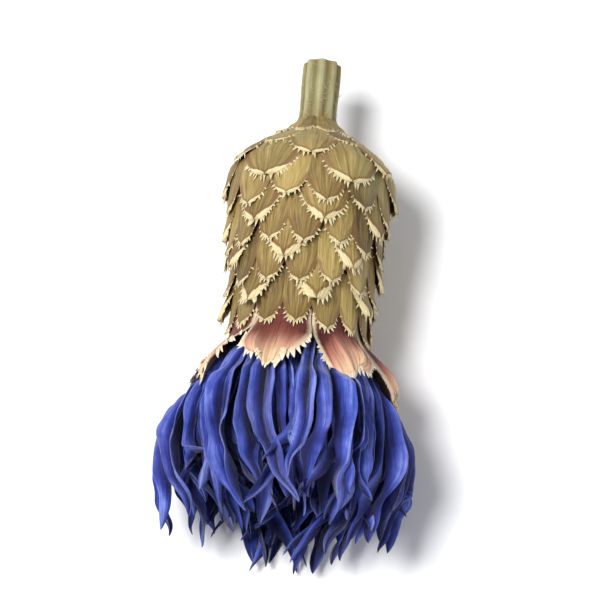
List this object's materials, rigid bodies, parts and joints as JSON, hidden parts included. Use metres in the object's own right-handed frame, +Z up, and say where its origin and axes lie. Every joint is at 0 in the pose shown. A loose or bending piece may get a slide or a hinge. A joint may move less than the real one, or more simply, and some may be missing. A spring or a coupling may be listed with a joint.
{
  "type": "dried cornflower head",
  "caption": "Dried cornflower head lying on its side: a short cut stem, a barrel-shaped cup of overlapping straw-gold bracts with a flared papery rim, and a tuft of blue florets.",
  "frame": {"origin": "middle of the underside of the head's box, on the surface that it lies on", "axes": "+Y along the head's axis from the floret tips towards the cut stem, +Z up, +X across the head"},
  "size_m": [0.0142, 0.0292, 0.0115],
  "materials": {
    "stem": "matte",
    "bract": "matte",
    "rim_bract": "matte",
    "ray_floret": "matte",
    "disc_floret": "matte"
  },
  "bodies": {
    "root": {"stem_with_receptacle": "stem", "bract_outermost_1": "bract", "bract_outermost_2": "bract", "bract_outermost_3": "bract", "bract_outermost_4": "bract", "bract_outermost_5": "bract", "bract_outermost_6": "bract", "bract_second_1": "bract", "bract_second_2": "bract", "bract_second_3": "bract", "bract_second_4": "bract", "bract_second_5": "bract", "bract_second_6": "bract", "bract_second_7": "bract", "bract_third_1": "bract", "bract_third_2": "bract", "bract_third_3": "bract", "bract_third_4": "bract", "bract_third_5": "bract", "bract_third_6": "bract", "bract_third_7": "bract", "bract_fourth_1": "bract", "bract_fourth_2": "bract", "bract_fourth_3": "bract", "bract_fourth_4": "bract", "bract_fourth_5": "bract", "bract_fourth_6": "bract", "bract_fourth_7": "bract", "bract_rim_1": "rim_bract", "bract_rim_2": "rim_bract", "bract_rim_3": "rim_bract", "bract_rim_4": "rim_bract", "bract_rim_5": "rim_bract", "bract_rim_6": "rim_bract", "bract_rim_7": "rim_bract", "ray_floret_1": "ray_floret", "ray_floret_2": "ray_floret", "ray_floret_3": "ray_floret", "ray_floret_4": "ray_floret", "ray_floret_5": "ray_floret", "ray_floret_6": "ray_floret", "ray_floret_7": "ray_floret", "ray_floret_8": "ray_floret", "ray_floret_9": "ray_floret", "ray_floret_10": "ray_floret", "ray_floret_11": "ray_floret", "ray_floret_12": "ray_floret", "disc_floret_outer_1": "disc_floret", "disc_floret_outer_2": "disc_floret", "disc_floret_outer_3": "disc_floret", "disc_floret_outer_4": "disc_floret", "disc_floret_outer_5": "disc_floret", "disc_floret_outer_6": "disc_floret", "disc_floret_outer_7": "disc_floret", "disc_floret_outer_8": "disc_floret", "disc_floret_inner_1": "disc_floret", "disc_floret_inner_2": "disc_floret", "disc_floret_inner_3": "disc_floret", "disc_floret_inner_4": "disc_floret"}
  },
  "joints": []
}
